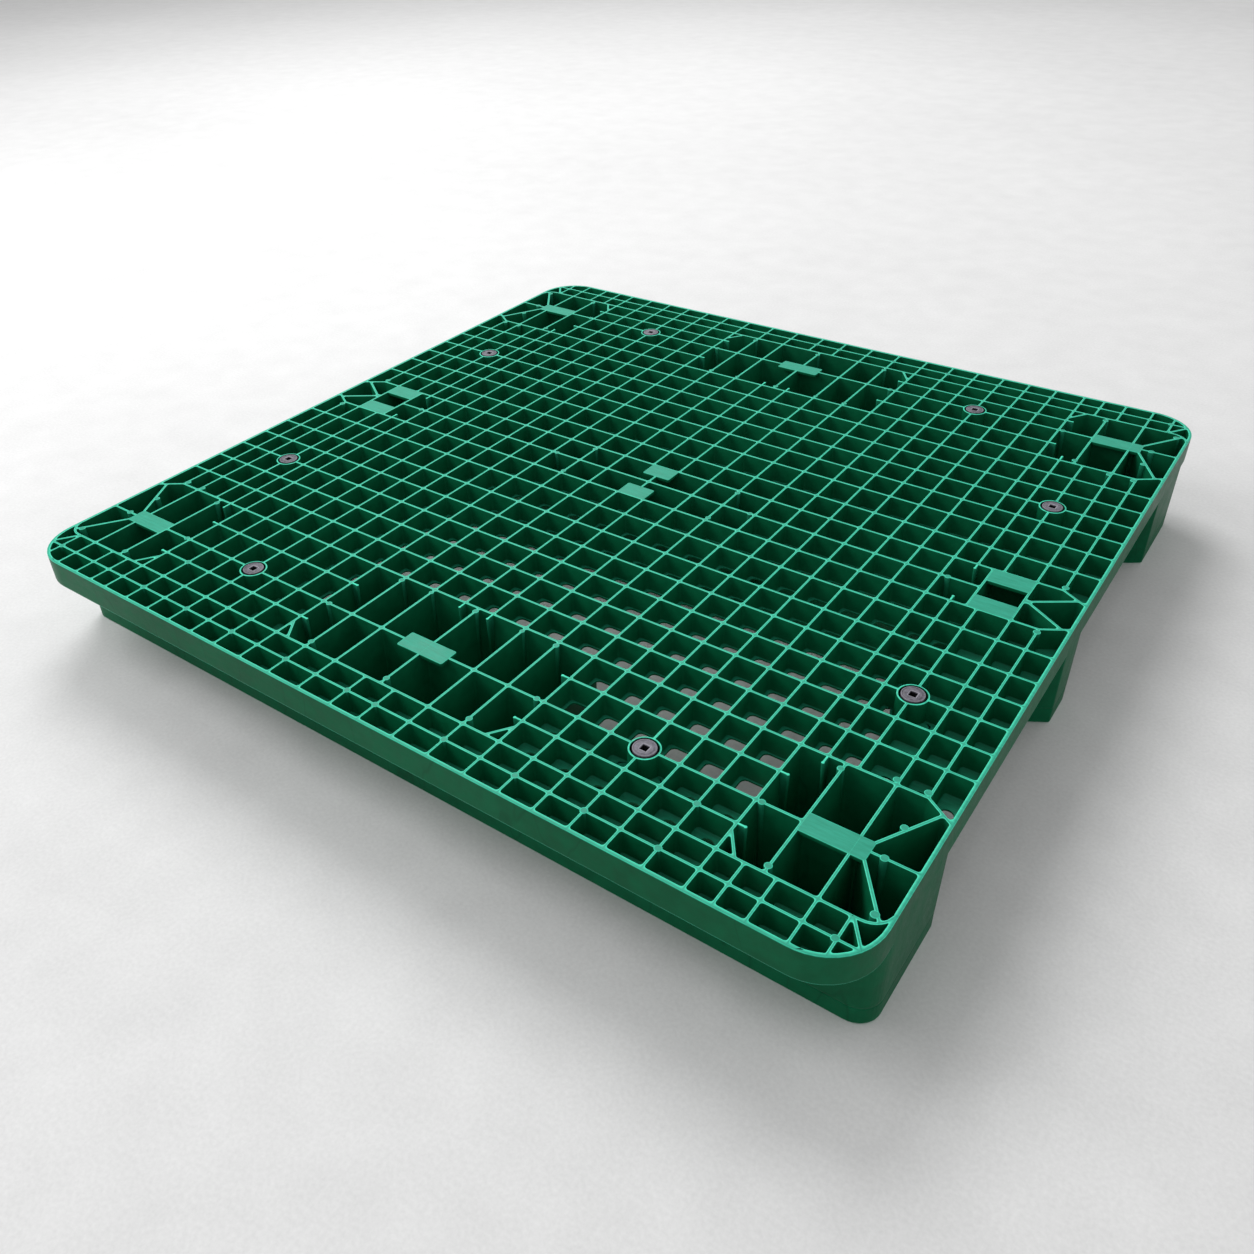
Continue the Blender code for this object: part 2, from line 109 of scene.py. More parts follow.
# Plugs
PLUG_PLACES = [(473.3, 224.7), (289.5, 445)]
SEAT_RADIUS = 15.1
RING_WIDTH = 1.8
SEAT_FLOOR = 111
PLUG_TOP = 135.8
PLUG_RADIUS = 12.7
PLUG_HOLE = 3.9

# Small round pads on the deck ribs, as (x, y, radius), and those along the outermost rib
PADS = [(509.5, 349, 4), (540.5, 349, 4.2), (543, 51, 4.2), (370.8, 480.5, 4.1), (541.5, 546, 4)]
PADS_ACROSS = (21, 116.5, 207.7, 289.5, 370.8)

# Where the materials change, in metres: outer side faces, the legs below the deck, the deck top whose
# upward faces are painted paler for wear and light from above, and the plug level below which painted shade
# darkens the plug
SIDE_FACE = 0.5735
LEG_LEVEL = 0.098
TOP_LEVEL = (0.1335, 0.1345)
PLUG_LEVEL = (0.1338, 0.1348)


def signs():
    return [(1, 1), (-1, 1), (-1, -1), (1, -1)]


def new_shape():
    shape = bmesh.new()
    shape.verts.layers.float.new("edge")
    return shape


def arc(centre, radius, angles):
    points = []
    for angle in angles:
        turn = math.radians(angle)
        points.append((centre[0] + radius * math.cos(turn), centre[1] + radius * math.sin(turn)))
    return points


def circle(centre, radius, count):
    return arc(centre, radius, [360 * index / count for index in range(count)])


def mirrored(points, x_sign, y_sign):
    turned = [(x * x_sign, y * y_sign) for x, y in points]
    return turned if x_sign * y_sign > 0 else turned[::-1]


def mirrored_widths(widths, x_sign, y_sign):
    """The widths of a mirrored outline's edges, where edge i runs from point i to point i + 1."""
    if x_sign * y_sign > 0:
        return widths
    count = len(widths)
    return [widths[(count - 2 - index) % count] for index in range(count)]


def inset(points, widths):
    """Moves each edge of an anticlockwise outline inwards by its own width."""
    moved = []
    for index, point in enumerate(points):
        here = Vector(point)
        before = (here - Vector(points[index - 1])).normalized()
        after = (Vector(points[(index + 1) % len(points)]) - here).normalized()
        turn = before.x * after.y - before.y * after.x
        if abs(turn) < 0.02:
            shift = Vector((-before.y, before.x)) * widths[index - 1]
        else:
            shift = (after * widths[index - 1] - before * widths[index]) / turn
        moved.append(tuple(here + shift))
    return moved


def rounded(points, radius, steps=CORNER_STEPS):
    """The same outline with each corner turned on a radius, as steps + 1 points for each corner."""
    result = []
    for index, point in enumerate(points):
        here = Vector(point)
        into = here - Vector(points[index - 1])
        away = Vector(points[(index + 1) % len(points)]) - here
        room = 0.48 * min(into.length, away.length)
        into.normalize()
        away.normalize()
        angle = math.atan2(into.x * away.y - into.y * away.x, into.dot(away))
        slope = math.tan(abs(angle) / 2)
        reach = min(max(radius, 0.3) * slope, room)
        turn = reach / slope if slope > 1e-4 else 0
        side = math.copysign(1, angle)
        start = here - into * reach
        centre = start + Vector((-into.y, into.x)) * turn * side
        for step in range(steps + 1):
            if turn == 0:
                result.append(tuple(here))
                continue
            spoke = Matrix.Rotation(angle * step / steps, 2) @ (start - centre)
            result.append(tuple(centre + spoke))
    return result


def ring(shape, points, z, edge=0.0):
    layer = shape.verts.layers.float["edge"]
    made = []
    for x, y in points:
        vertex = shape.verts.new((x, y, z))
        vertex[layer] = edge
        made.append(vertex)
    return made


def face(shape, vertices):
    if len(set(vertices)) > 2:
        shape.faces.new(vertices)


def join_inwards(shape, first, second):
    """Walls that face the middle of the outline, from one ring to the next one down."""
    for index in range(len(first)):
        after = (index + 1) % len(first)
        face(shape, (first[index], first[after], second[after], second[index]))


def join_outwards(shape, first, second):
    for index in range(len(first)):
        after = (index + 1) % len(first)
        face(shape, (first[index], second[index], second[after], first[after]))


def frame_to_ring(shape, frame_ring, inner, steps, flip):
    """The flat face between an outline and a rounded ring with steps + 1 points for each corner."""
    count = len(frame_ring)
    for index in range(count):
        after = (index + 1) % count
        base = index * (steps + 1)
        for step in range(steps):
            corner = (frame_ring[index], inner[base + step + 1], inner[base + step])
            face(shape, corner[::-1] if flip else corner)
        side = (frame_ring[index], frame_ring[after], inner[after * (steps + 1)], inner[base + steps])
        face(shape, side[::-1] if flip else side)


def hole_margins(outline):
    """How far the floor reaches in from each wall of a cell: less beside the walls along X."""
    margins = []
    for index, point in enumerate(outline):
        after = outline[(index + 1) % len(outline)]
        wide, deep = abs(after[0] - point[0]), abs(after[1] - point[1])
        if min(wide, deep) > 0.5:
            margins.append(3)
        else:
            margins.append(2.4 if wide > deep else 4.6)
    return margins


def round_hole(outline, radius):
    """As many points as the outline has, on a circle about its middle."""
    across = [point[0] for point in outline]
    along = [point[1] for point in outline]
    middle = ((min(across) + max(across)) / 2, (min(along) + max(along)) / 2)
    start = math.degrees(math.atan2(outline[0][1] - middle[1], outline[0][0] - middle[0]))
    radius = min(radius, 0.3 * min(max(across) - min(across), max(along) - min(along)))
    count = len(outline)
    return arc(middle, radius, [start + 360 * index / count for index in range(count)])


def add_cell(shape, tile, opening, floor, hole="wide", draft=0.6, radius=CELL_RADIUS, under=True):
    """One cell: its share of the rib tops, its rounded walls, and its floor.

    The floor's hole is "wide", "round" or None. A cell that a plug ring cuts into has an outline of
    many corners, so its round hole follows that outline instead.
    """

    def outline(step_in, turn):
        return rounded(inset(opening, [step_in] * len(opening)), turn)

    def hole_outline(step_in):
        if hole == "round" and len(opening) < 6:
            return round_hole(outline(draft + 0.6, radius + 0.6), ROUND_HOLE - step_in)
        margins = hole_margins(opening) if hole == "wide" else [RING_CELL_MARGIN] * len(opening)
        return rounded(inset(opening, [margin + step_in for margin in margins]), HOLE_RADIUS - step_in)

    # The edge values paint the rib tops and rounded top edges pale, partly as wear and partly as a painted
    # highlight; the floor gets a little painted light and the rim of its hole a painted highlight.
    outer = ring(shape, tile, TOP, 0.6)
    rings = [
        ring(shape, outline(-BEVEL, radius + BEVEL), TOP, 1),
        ring(shape, outline(-SOFTENED, radius + SOFTENED), TOP - SOFTENED, 1),
        ring(shape, outline(0, radius), TOP - 0.8, 0.5),
        ring(shape, outline(draft, radius + 1), floor + 0.7, 0),
        ring(shape, outline(draft + 0.6, radius + 0.6), floor, 0.74),
    ]
    frame_to_ring(shape, outer, rings[0], CORNER_STEPS, False)
    if hole:
        rings.append(ring(shape, hole_outline(0), floor, 0.85))
        rings.append(ring(shape, hole_outline(0.4), GRID_BOTTOM, 0))
    for first, second in zip(rings, rings[1:]):
        join_inwards(shape, first, second)
    if not hole:
        face(shape, rings[-1])
    if under:
        below = ring(shape, tile, GRID_BOTTOM, 0)
        if hole:
            frame_to_ring(shape, below, rings[-1], CORNER_STEPS, True)
        else:
            face(shape, below[::-1])


def add_post(shape, outline, top, bottom, lower=None, edge=1.0, rim=1.2):
    """A closed upright post with a rounded top edge, which may have another outline at its foot."""
    rings = [ring(shape, evenly_inset(outline, rim), top, 0.3)] if rim else []
    rings += [
        ring(shape, evenly_inset(outline, BEVEL), top, edge),
        ring(shape, evenly_inset(outline, SOFTENED), top - SOFTENED, edge),
        ring(shape, outline, top - 0.6, edge * 0.75),
        ring(shape, lower or outline, bottom, 0),
    ]
    face(shape, rings[0])
    for first, second in zip(rings, rings[1:]):
        join_outwards(shape, first, second)
    face(shape, rings[-1][::-1])


def evenly_inset(outline, amount):
    return inset(outline, [amount] * len(outline))


def add_boss(shape, x, y, radius, bottom, lift=0.15):
    add_post(shape, circle((x, y), radius, 20), TOP + lift, bottom, circle((x, y), radius * 0.8, 20))


def add_plate(shape, x_range, y_range, thickness, lift=0.1):
    """A flush plate across the ribs, with small corner radii."""
    (left, right), (near, far) = x_range, y_range
    outline = rounded([(left, near), (right, near), (right, far), (left, far)], 2.2)
    add_post(shape, outline, TOP + lift, TOP - thickness, edge=0.95)


def add_stub(shape, start, along, length, bottom):
    """A fin that stands in from a cup's wall, with a bead at its tip, and fades into the wall below."""
    along = Vector(along).normalized()
    across = Vector((-along.y, along.x))
    start = Vector(start)
    angle = math.degrees(math.atan2(along.y, along.x))

    def outline(reach, bead):
        tip = start + along * reach
        neck = [start + across * 1.2, start - across * 1.2, tip - along * bead * 0.7 - across * 1.2]
        head = arc(tip, bead, [angle + turn for turn in (-100, -65, -30, 0, 30, 65, 100)])
        last = tip - along * bead * 0.7 + across * 1.2
        return [tuple(point) for point in (*neck, *[Vector(point) for point in head], last)]

    add_post(shape, outline(length, 1.8), TOP + 0.1, bottom, outline(length * 0.45, 1.5), rim=None)


def in_pocket(x, y):
    if abs(y) < CENTRE_Y or SIDE_Y[0] < abs(y) < SIDE_Y[1]:
        return abs(x) < MIDDLE_X or abs(x) > END_X
    return False


def special(x, y):
    """Cells that a chamfered or curved wall bounds, which are drawn one by one in one quarter."""
    by_centre = CENTRE_Y < abs(y) < BESIDE_CENTRE_Y
    by_side = BESIDE_SIDE_Y < abs(y) < SIDE_Y[0] or SIDE_Y[1] < abs(y) < LAST_Y
    if abs(x) > CHAMFER_X and (by_centre or by_side or abs(y) > LAST_Y):
        return True
    return CORNER_X < abs(x) < CHAMFER_X and abs(y) > LAST_Y


def plug_places():
    places = []
    for x, y in PLUG_PLACES:
        for x_sign in (1, -1):
            for y_sign in (1, -1):
                places.append((x * x_sign, y * y_sign))
    return places


def rim_or(value, width):
    return RIM if abs(abs(value) - OUT) < 0.01 else width


def regular_cell(shape, x_range, y_range):
    left, right = x_range
    near, far = y_range
    middle = ((left + right) / 2, (near + far) / 2)
    beyond = [(middle[0], near - 5), (right + 5, middle[1]), (middle[0], far + 5), (left - 5, middle[1])]
    widths = []
    for value, place in zip((near, right, far, left), beyond):
        widths.append(rim_or(value, HALF_WALL if in_pocket(*place) else HALF_RIB))
    tile = [(left, near), (right, near), (right, far), (left, far)]
    for place in plug_places():
        for index, corner in enumerate(tile):
            if math.dist(place, corner) < 1:
                start = (90, 180, 270, 360)[index]
                bend = arc(place, SEAT_RADIUS, [start - step * 11.25 for step in range(9)])
                tile = tile[:index] + bend + tile[index + 1 :]
                widths = widths[:index] + [RING_WIDTH] * 8 + widths[index:]
                break
    opening = inset(tile, widths)
    inside = abs(middle[0]) < OPEN_FLOORS[0] and abs(middle[1]) < OPEN_FLOORS[1]
    add_cell(shape, tile, opening, FLOOR_TOP, "wide" if inside else "round")


def lines(halves):
    both = sorted({-value for value in halves} | set(halves))
    return [-OUT, *both, OUT]


def special_cells():
    """(tile, opening, kind of floor hole) of the cells by the walls of one quarter."""
    low, high = SIDE_Y
    end_y = CENTRE_Y - (OUT - CHAMFER_X) * CHAMFER_END
    beside_end = [(CHAMFER_X, CENTRE_Y), (OUT, end_y), (OUT, BESIDE_CENTRE_Y), (CHAMFER_X, BESIDE_CENTRE_Y)]
    side_y = low + (OUT - CHAMFER_X) * CHAMFER_SIDE
    beside_leg = [(CHAMFER_X, BESIDE_SIDE_Y), (OUT, BESIDE_SIDE_Y), (OUT, side_y), (CHAMFER_X, low)]
    brace = [(CHAMFER_X, BRACE_FOOT_Y), (BRACE_END_X, LAST_Y), (CHAMFER_X, LAST_Y)]
    centre = (CORNER_CENTRE, CORNER_CENTRE)
    outer = OUT - CORNER_CENTRE
    rim = arc(centre, outer, (60.65, 68, 76, 84, 90))
    at_end = [(CORNER_X, LAST_Y), (CHAMFER_X, LAST_Y), *rim, (CORNER_X, OUT)]
    at_tip = [(CHAMFER_X, LAST_Y), *arc(centre, outer, (32.65, 42, 51, 60.65))]
    cells = [
        (beside_end, inset(beside_end, [HALF_WALL, RIM, HALF_RIB, HALF_RIB]), "round"),
        (beside_leg, inset(beside_leg, [HALF_RIB, RIM, HALF_WALL, HALF_RIB]), "round"),
        (brace, inset(brace, [HALF_RIB] * 3), None),
        (at_end, inset(at_end, [HALF_RIB, HALF_RIB, *[RIM] * 5, HALF_RIB]), None),
        (at_tip, inset(at_tip, [HALF_RIB, *[RIM] * 3, HALF_RIB]), None),
    ]
    tile = [(544.24, high), *arc(BEND, BEND_RADIUS, (90, 75, 60, 45, 30, 10)), (OUT, 497)]
    tile += arc(centre, outer, (0, 8, 16, 24, 32.65))
    opening = [(547.85, 519), *arc(BEND, 24.5, (89, 78, 67, 56, 46, 38)), (571, 507.4)]
    opening += arc(centre, 58, (0, 8, 16, 23, 29.5))
    cells.append((tile, opening, None))
    return cells


def top_borders(shape):
    """The two ends of each open edge at the deck top, in the order that turns its wall outwards."""
    bmesh.ops.remove_doubles(shape, verts=shape.verts, dist=WELD)
    loops = [
        edge.link_loops[0] for edge in shape.edges if edge.is_boundary and edge.verts[0].co.z > TOP - 0.01
    ]
    return [(loop.link_loop_next.vert, loop.vert) for loop in loops]


def hang_wall(shape, ends, ways, levels):
    """A wall down from a top edge, through levels of (reach along each end's way, height, wear)."""
    layer = shape.verts.layers.float["edge"]
    previous = ends
    for reach, z, wear in levels:
        pair = []
        for vertex, way in zip(ends, ways):
            made = shape.verts.new((*(vertex.co.xy + way * reach), z))
            made[layer] = wear
            pair.append(made)
        face(shape, (previous[0], previous[1], pair[1], pair[0]))
        previous = pair


def way_out(point):
    """The outward direction at a point of the deck's rim, or None for any other point."""
    if abs(point.x) > CORNER_CENTRE and abs(point.y) > CORNER_CENTRE:
        centre = (math.copysign(CORNER_CENTRE, point.x), math.copysign(CORNER_CENTRE, point.y))
        away = point.xy - Vector(centre)
        return away.normalized() if away.length > OUT - CORNER_CENTRE - 0.5 else None
    if abs(point.y) > OUT - 0.1:
        return Vector((0, math.copysign(1, point.y)))
    if abs(point.x) > OUT - 0.1:
        return Vector((math.copysign(1, point.x), 0))
    return None


def inside_grid(point):
    """Whether a top edge's middle lies between cells or around a plug, and not at a leg opening."""
    if abs(point.x) > CHAMFER_X - 0.1 and abs(point.y) > SIDE_Y[1] + 0.5:
        return True
    return any(math.dist(point.xy, place) < SEAT_RADIUS + 1 for place in plug_places())


def close_deck(shape):
    """The skirt around the deck, and the walls of the nine openings that the leg cups fill."""
    # The skirt's top and bottom edges are painted pale, partly as wear and partly as a highlight.
    skirt = [
        (0.6, TOP - 0.2, 1),
        (EDGE, TOP - EDGE, 0.9),
        (EDGE, TOP - 2.5, 0),
        (EDGE, BOTTOM + 2.5, 0),
        (EDGE, BOTTOM + 0.7, 0.9),
        (0.5, BOTTOM + 0.15, 1),
        (0, BOTTOM, 0.4),
        (-RIM + 0.5, BOTTOM, 0.4),
        (-RIM, BOTTOM + 0.5, 0),
        (-RIM, GRID_BOTTOM + 0.3, 0),
    ]
    still = Vector((0, 0))
    for start, end in top_borders(shape):
        ways = [way_out(start.co), way_out(end.co)]
        if all(ways):
            hang_wall(shape, (start, end), ways, skirt)
        else:
            foot = GRID_BOTTOM if inside_grid((start.co + end.co) / 2) else BOTTOM
            hang_wall(shape, (start, end), (still, still), [(0, foot, 0)])


def build_piece(name, shape, material, nodes, smooth=50):
    """Turns a shape into an object in metres that rides on the body and stands for its CAD nodes."""
    bmesh.ops.remove_doubles(shape, verts=shape.verts, dist=WELD)
    bmesh.ops.dissolve_degenerate(shape, edges=shape.edges, dist=0.005)
    bmesh.ops.scale(shape, vec=(MM, MM, MM), verts=shape.verts)
    mesh = bpy.data.meshes.new(name)
    shape.to_mesh(mesh)
    shape.free()
    mesh.shade_smooth()
    mesh.set_sharp_from_angle(angle=math.radians(smooth))
    mesh.materials.append(material)
    piece = bpy.data.objects.new(name, mesh)
    bpy.context.scene.collection.objects.link(piece)
    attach(piece, "root")
    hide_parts(*nodes)
    return piece


def build_deck(material):
    shape = new_shape()
    x_lines, y_lines = lines(RIBS_ACROSS), lines(RIBS_ALONG)
    for x_range in zip(x_lines, x_lines[1:]):
        for y_range in zip(y_lines, y_lines[1:]):
            middle = (sum(x_range) / 2, sum(y_range) / 2)
            if not in_pocket(*middle) and not special(*middle):
                regular_cell(shape, x_range, y_range)
    for x_sign, y_sign in signs():
        for tile, opening, hole in special_cells():
            tile = mirrored(tile, x_sign, y_sign)
            opening = mirrored(opening, x_sign, y_sign)
            radius = CELL_RADIUS if hole else SMALL_RADIUS
            add_cell(shape, tile, opening, FLOOR_TOP, hole, radius=radius)
    close_deck(shape)
    for place in plug_places():
        edge = circle(place, SEAT_RADIUS, 32)
        levels = ((TOP, 0.9), (TOP - 0.5, 0), (SEAT_FLOOR, 0))
        rings = [ring(shape, edge, z, wear) for z, wear in levels]
        for first, second in zip(rings, rings[1:]):
            join_inwards(shape, first, second)
        face(shape, rings[-1])
        face(shape, ring(shape, edge, GRID_BOTTOM, 0)[::-1])
    for x_sign, y_sign in signs():
        for x, y, radius in PADS + [(x, LAST_Y, 4.1) for x in PADS_ACROSS]:
            add_boss(shape, x * x_sign, y * y_sign, radius, FLOOR_TOP)
    for kind, x_sign, y_sign in leg_kinds():
        outline = [(max(-HALF + RIM, min(HALF - RIM, x)), y) for x, y in leg_outline(kind)]
        collar = rounded(mirrored(outline, x_sign, y_sign), 3)
        upper = ring(shape, collar, GRID_BOTTOM + 0.2)
        join_outwards(shape, upper, ring(shape, collar, BOTTOM - 0.2))
    return build_piece("deck_moulding", shape, material, ["deck_grid"])


def taper(vertices, kind, x_sign, y_sign, start):
    """Draws a leg in towards its foot. Faces flush with the deck edge or the runner stay upright."""
    low, high = SIDE_Y
    x_fixed, x_size = 0, MIDDLE_X * 2
    y_fixed, y_size = 0, CENTRE_Y * 2
    if kind in ("end", "corner"):
        x_fixed, x_size = HALF * x_sign, HALF - END_X
    if kind in ("side", "corner"):
        y_fixed, y_size = (high + COLLAR) * y_sign, high - low
    for vertex in vertices:
        depth = max(0, (start - vertex.co.z) / (start - LEG_BOTTOM))
        depth = min(depth, 1)
        vertex.co.x = x_fixed + (vertex.co.x - x_fixed) * (1 - depth * LEG_TAPER / x_size)
        vertex.co.y = y_fixed + (vertex.co.y - y_fixed) * (1 - depth * LEG_TAPER / y_size)


def grid_tiles(x_lines, y_lines):
    tiles = []
    for left, right in zip(x_lines, x_lines[1:]):
        for near, far in zip(y_lines, y_lines[1:]):
            tile = [(left, near), (right, near), (right, far), (left, far)]
            tiles.append((tile, [HALF_WALL] * 4))
    return tiles


def end_tiles():
    """The cells of the cup in the middle of the right side."""
    wall, brace = HALF_WALL, BRACE_WALL
    foot, tip = (515.8, 0), (563.6, 32)
    tiles = grid_tiles([END_X, CUP_X], [-CENTRE_Y, 0, CENTRE_Y])
    tiles += grid_tiles([CUP_X, CORNER_X], [-CENTRE_Y, CENTRE_Y])
    face_y = CENTRE_Y - (OUT - CHAMFER_X) * CHAMFER_END
    between_braces = [foot, (tip[0], -tip[1]), (OUT, -face_y), (OUT, face_y), tip]
    tiles.append((between_braces, [brace, wall, RIM, wall, brace]))
    flank = [(CORNER_X, 0), foot, tip, (CHAMFER_X, CENTRE_Y), (CORNER_X, CENTRE_Y)]
    widths = [4, brace, wall, wall, wall]
    for sign in (1, -1):
        tiles.append((mirrored(flank, 1, sign), mirrored_widths(widths, 1, sign)))
    return tiles


def corner_tiles():
    """The cells of the cup at the right rear corner."""
    low, high = SIDE_Y
    wall, brace = HALF_WALL, BRACE_WALL
    cut_x, cut_y = 432, 490
    upper_foot, lower_foot, tip = (518.9, CUP_Y), (517.7, CUP_Y), (562.4, 368.3)
    face_y = low + (OUT - CHAMFER_X) * CHAMFER_SIDE
    tiles = grid_tiles([END_X, CUP_X, CORNER_X], [low, CUP_Y]) + grid_tiles([CUP_X, CORNER_X], [CUP_Y, high])
    cut_cell = [(END_X, CUP_Y), (CUP_X, CUP_Y), (CUP_X, high), (cut_x, high), (END_X, cut_y)]
    before_brace = [(CORNER_X, low), (CHAMFER_X, low), tip, upper_foot, (CORNER_X, CUP_Y)]
    beyond_brace = [tip, (OUT, face_y), (OUT, CUP_Y), upper_foot]
    by_face = [lower_foot, (OUT, CUP_Y), (OUT, 497), *arc(BEND, BEND_RADIUS, (10, 30, 50))]
    by_bend = [(CORNER_X, CUP_Y), lower_foot, *arc(BEND, BEND_RADIUS, (50, 60, 75, 90)), (CORNER_X, high)]
    return tiles + [
        (cut_cell, [wall] * 5),
        ([(END_X, cut_y), (cut_x, high), (END_X, high)], [wall] * 3),
        (before_brace, [wall, wall, brace, wall, wall]),
        (beyond_brace, [wall, RIM, wall, brace]),
        (by_face, [wall, RIM, wall, wall, wall, brace]),
        (by_bend, [wall, brace, wall, wall, wall, wall, wall]),
    ]


def side_tiles(across):
    """The cells of the cup in the middle of the rear side."""
    low, high = SIDE_Y
    cut_x, cut_y = 145.6, 491
    inner = CUP_RIBS[1]
    tiles = grid_tiles(across, [low, CUP_Y]) + grid_tiles(across[1:-1], [CUP_Y, high])
    main = [(inner, CUP_Y), (MIDDLE_X, CUP_Y), (MIDDLE_X, cut_y), (cut_x, high), (inner, high)]
    nook = [(MIDDLE_X, cut_y), (MIDDLE_X, high), (cut_x, high)]
    for sign in (1, -1):
        tiles.append((mirrored(main, sign, 1), [HALF_WALL] * 5))
        tiles.append((mirrored(nook, sign, 1), [HALF_WALL] * 3))
    return tiles


def pocket_tiles(kind):
    """(tile, widths) of the deep cells in a leg cup, for the right and rear one of its kind."""
    across = [-MIDDLE_X, *[-x for x in CUP_RIBS[::-1]], 0, *CUP_RIBS, MIDDLE_X]
    if kind == "centre":
        return grid_tiles(across, [-CENTRE_Y, 0, CENTRE_Y])
    if kind == "side":
        return side_tiles(across)
    return end_tiles() if kind == "end" else corner_tiles()


def leg_outline(kind):
    """The plan of a leg's outer walls under the deck, for the right and rear one of its kind."""
    low, high = SIDE_Y[0] - COLLAR, SIDE_Y[1] + COLLAR
    side = CENTRE_Y + COLLAR
    half = MIDDLE_X + COLLAR
    if kind == "centre":
        return [(-half, -side), (half, -side), (half, side), (-half, side)]
    if kind == "side":
        return [(-half, low), (half, low), (half, high), (-half, high)]
    start = END_X - COLLAR
    slope = CHAMFER_END if kind == "end" else CHAMFER_SIDE
    stretch = math.hypot(1, slope)
    corner = CHAMFER_X + COLLAR * (stretch - 1) / slope
    if kind == "end":
        face_y = CENTRE_Y - CHAMFER_LENGTH * slope + COLLAR * stretch
        upper = [(HALF, face_y), (corner, side), (start, side)]
        return [(start, -side), (corner, -side), (HALF, -face_y), *upper]
    face_y = SIDE_Y[0] + CHAMFER_LENGTH * slope - COLLAR * stretch
    bend = arc(BEND, BEND_RADIUS + COLLAR, range(0, 91, 10))
    return [(start, low), (corner, low), (HALF, face_y), *bend, (start, high)]


def add_leg_details(shape, kind):
    """Bosses, flush plates and stubs of a leg cup, for the right and rear one of its kind."""
    foot = LEG_FLOOR - 1
    bosses, plates, stubs, seam = [], [], [], None
    if kind == "centre":
        bosses = [(x, y, 3.7) for x in (-117, 117) for y in (-38, 38)] + [(-157, 0, 3.5), (157, 0, 3.5)]
        plates = [((-21, 21), (17, 45.5)), ((-21, 21), (-45.5, -17))]
    elif kind == "side":
        bosses = [(x, y, 3.8) for x in (-117, 0, 117) for y in (362, 508)]
        bosses += [(-69, 362, 3.1), (69, 362, 3.1), (-155, CUP_Y, 3.7), (155, CUP_Y, 3.7)]
        plates = [((-33.5, 33.5), (432, 458))]
        seam = 0
        stubs = [((-21, 356), (0, 1), 9.5), ((21, 356), (0, 1), 9.5)]
        for sign in (-1, 1):
            stubs += [((163 * sign, 399.5), (-sign, 0), 8.5), ((163 * sign, 480.5), (-sign, 0), 8.5)]
    elif kind == "end":
        bosses = [(422, 0, 3.8)]
        plates = [((CUP_X, CORNER_X), (17, 45.5)), ((CUP_X, CORNER_X), (-45.5, -17))]
        stubs = [((442, 43.5), (0, -1), 9), ((442, -43.5), (0, 1), 9)]
    else:
        bosses = [(539.5, 402, 4), (558, 506, 4.3), (539.5, CUP_Y, 4.2)]
        bosses += [(419, CUP_Y, 3.8), (459.5, 364.5, 3.8), (460.5, 509, 4)]
        plates = [((CUP_X, 527), (432, 458))]
        seam = CORNER_X
        stubs = [((442, 356), (0, 1), 10.5), ((414, 399.5), (1, 0), 8), ((414, 480.5), (1, 0), 8)]
    for x, y, radius in bosses:
        add_boss(shape, x, y, radius, foot)
    for x_range, y_range in plates:
        add_plate(shape, x_range, y_range, 4)
    if seam is not None:
        left, right, near, far = seam - 0.7, seam + 0.7, 432.6, 457.4
        line = [(left, near), (right, near), (right, far), (left, far)]
        add_post(shape, line, TOP + 0.15, TOP - 1, edge=0.78, rim=None)
    for start, along, length in stubs:
        add_stub(shape, start, along, length, foot)


def peg_places(kind):
    if kind == "centre":
        return [(-93, 22), (93, -22)]
    if kind == "side":
        return [(-93, 400), (93, 480)]
    if kind == "end":
        return [(438, -22), (486, 22)]
    return [(438, 400), (486, 480)]


def close_leg(shape):
    """The flush outer face of an edge leg, and the hidden walls that stand in the deck's openings."""
    flush = [(0.6, TOP - 0.2, 1), (EDGE, TOP - EDGE, 0.9), (EDGE, TOP - 2.5, 0), (EDGE, BOTTOM, 0)]
    for start, end in top_borders(shape):
        outer = abs(start.co.x) > OUT - 0.1 and abs(end.co.x) > OUT - 0.1
        way = Vector((math.copysign(1, start.co.x) if outer else 0, 0))
        hang_wall(shape, (start, end), (way, way), flush if outer else [(0, BOTTOM, 0)])


def merge(target, source, name):
    """Adds a shape to another through a mesh, and frees it."""
    mesh = bpy.data.meshes.new(name)
    source.to_mesh(mesh)
    source.free()
    target.from_mesh(mesh)
    bpy.data.meshes.remove(mesh)


def leg_walls(kind, x_sign, y_sign):
    """The outer walls and foot of a leg below the deck, with its snap pegs."""
    walls = new_shape()
    outline = mirrored(leg_outline(kind), x_sign, y_sign)
    wall = rounded(outline, 3)
    rings = [ring(walls, wall, z) for z in (BOTTOM, BOTTOM - 1.5, LEG_BOTTOM + 2.5, LEG_BOTTOM + SOFTENED)]
    rings.append(ring(walls, rounded(evenly_inset(outline, SOFTENED), 3 - SOFTENED), LEG_BOTTOM))
    for first, second in zip(rings, rings[1:]):
        join_outwards(walls, first, second)
    face(walls, rings[-1][::-1])
    taper(walls.verts, kind, x_sign, y_sign, BOTTOM)
    for x, y in peg_places(kind):
        place = (
            x if kind in ("centre", "side") else x * x_sign,
            y if kind in ("centre", "end") else y * y_sign,
        )
        add_post(walls, circle(place, 6, 24), LEG_BOTTOM + 2, PEG_HEAD[1] - 0.5, edge=0)
        add_post(walls, circle(place, 7.6, 24), PEG_HEAD[1], PEG_HEAD[0], edge=0.5)
    return walls


